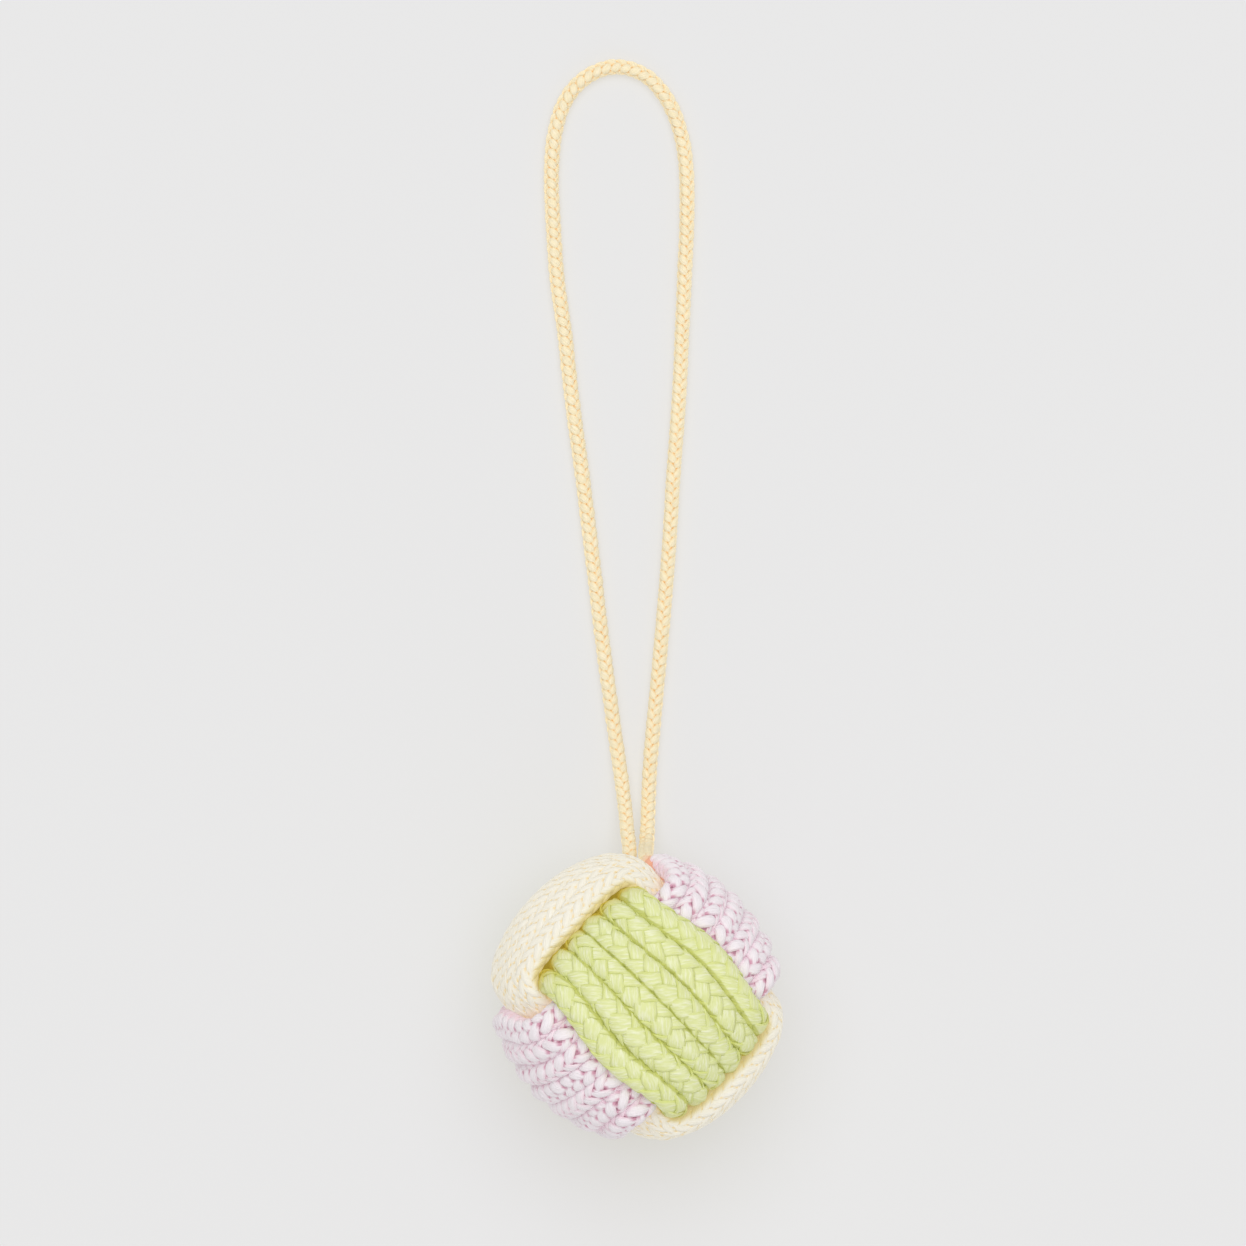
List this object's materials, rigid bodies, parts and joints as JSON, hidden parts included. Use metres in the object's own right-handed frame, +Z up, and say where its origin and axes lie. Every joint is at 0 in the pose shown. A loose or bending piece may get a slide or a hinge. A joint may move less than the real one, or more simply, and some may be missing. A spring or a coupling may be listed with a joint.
{
  "type": "monkey fist knot",
  "caption": "Monkey fist knot: a ball wound from green, cream and lilac braided cords that pass under one another, on a hanging loop of thinner apricot braided cord.",
  "frame": {"origin": "on the surface that the ball lies on, in the middle of the small flat spot under the ball", "axes": "+Z up, away from the surface; +Y from the ball towards the far end of the loop, which lies along the surface; +X to the right of the loop seen from above"},
  "size_m": [0.0368, 0.1361, 0.0356],
  "materials": {
    "green_cord": "soft matte braid",
    "cream_cord": "soft matte braid",
    "lilac_cord": "soft matte braid",
    "apricot_cord": "fine matte braid"
  },
  "bodies": {
    "root": {"green_winding": "green_cord", "cream_winding": "cream_cord", "lilac_winding": "lilac_cord", "hanging_loop": "apricot_cord"}
  },
  "joints": []
}
